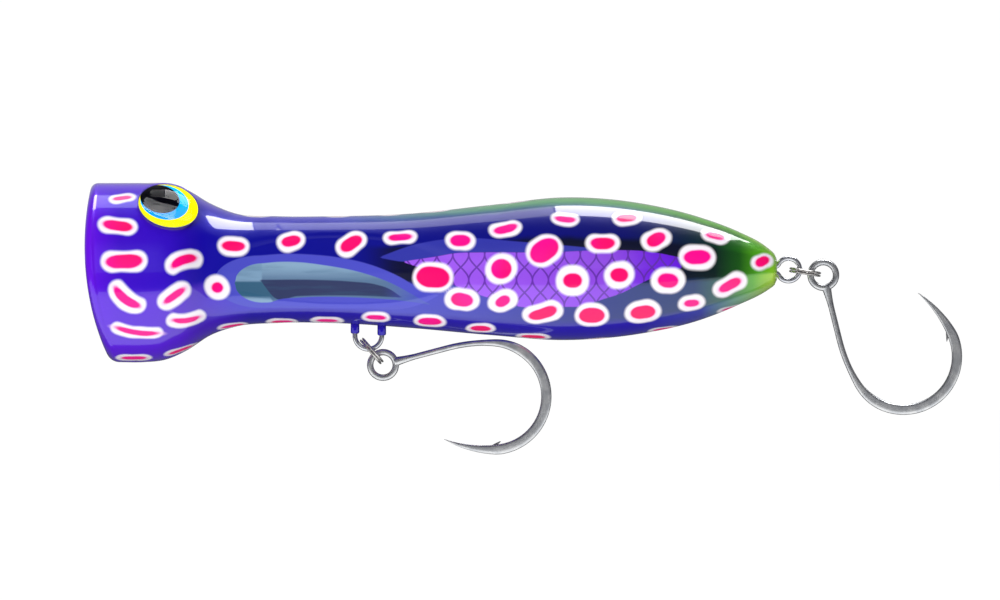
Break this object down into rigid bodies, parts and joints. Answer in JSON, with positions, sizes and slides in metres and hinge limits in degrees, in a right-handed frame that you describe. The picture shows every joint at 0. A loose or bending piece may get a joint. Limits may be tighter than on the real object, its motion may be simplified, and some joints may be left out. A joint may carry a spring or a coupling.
{
  "type": "topwater popper fishing lure",
  "caption": "Floating popper lure with a cupped face, side scoops, a through wire, two split rings and two single hooks that swing.",
  "frame": {"origin": "centre of the line tie eye in the mouth cup", "axes": "-X towards the nose and the line, +X towards the tail, +Z towards the back, +Y to the lure's right side"},
  "size_m": [0.1902, 0.0388, 0.059],
  "materials": {
    "painted_shell": "clear-coated paint over foil on moulded plastic",
    "wire": "bright stainless wire",
    "eye_print": "printed disc",
    "eye_dome": "clear cast dome",
    "ballast": "turned bar",
    "rattle_tube": "natural moulded plastic",
    "rattle_ball": "polished ball",
    "ring": "bright stainless ring",
    "hook": "black-nickel over forged steel"
  },
  "bodies": {
    "popper_body": {"shell_left": "painted_shell", "shell_right": "painted_shell", "through_wire": "wire", "eye_print_left": "eye_print", "eye_print_right": "eye_print", "eye_dome_left": "eye_dome", "eye_dome_right": "eye_dome", "tail_ballast": "ballast", "belly_ballast": "ballast", "rattle_tube": "rattle_tube", "rattle_tube_cap": "rattle_tube"},
    "belly_ring": {"belly_split_ring": "ring"},
    "belly_hook": {"belly_hook": "hook"},
    "tail_ring": {"tail_split_ring": "ring"},
    "tail_hook": {"tail_hook": "hook"},
    "rattle_ball": {"rattle_ball": "rattle_ball"}
  },
  "joints": [
    {"name": "belly_ring_sway", "type": "hinge", "parent": "popper_body", "child": "belly_ring", "pos_m": [0.05619, 0, -0.01723], "axis": [0.9923, 0, 0.124], "range_deg": [-45, 45]},
    {"name": "belly_hook_swing", "type": "hinge", "parent": "belly_ring", "child": "belly_hook", "pos_m": [0.059, 0, -0.02069], "axis": [0, 1, 0], "range_deg": [0, 130]},
    {"name": "tail_ring_sway", "type": "hinge", "parent": "popper_body", "child": "tail_ring", "pos_m": [0.14948, 0, 0], "axis": [0, 0, 1], "range_deg": [-55, 55]},
    {"name": "tail_hook_swing", "type": "hinge", "parent": "tail_ring", "child": "tail_hook", "pos_m": [0.15458, 0, -0.00115], "axis": [0, 1, 0], "range_deg": [-140, 50]},
    {"name": "rattle_ball_roll", "type": "slide", "parent": "popper_body", "child": "rattle_ball", "axis": [1, 0, 0], "range_m": [-0.0118, 0]}
  ]
}
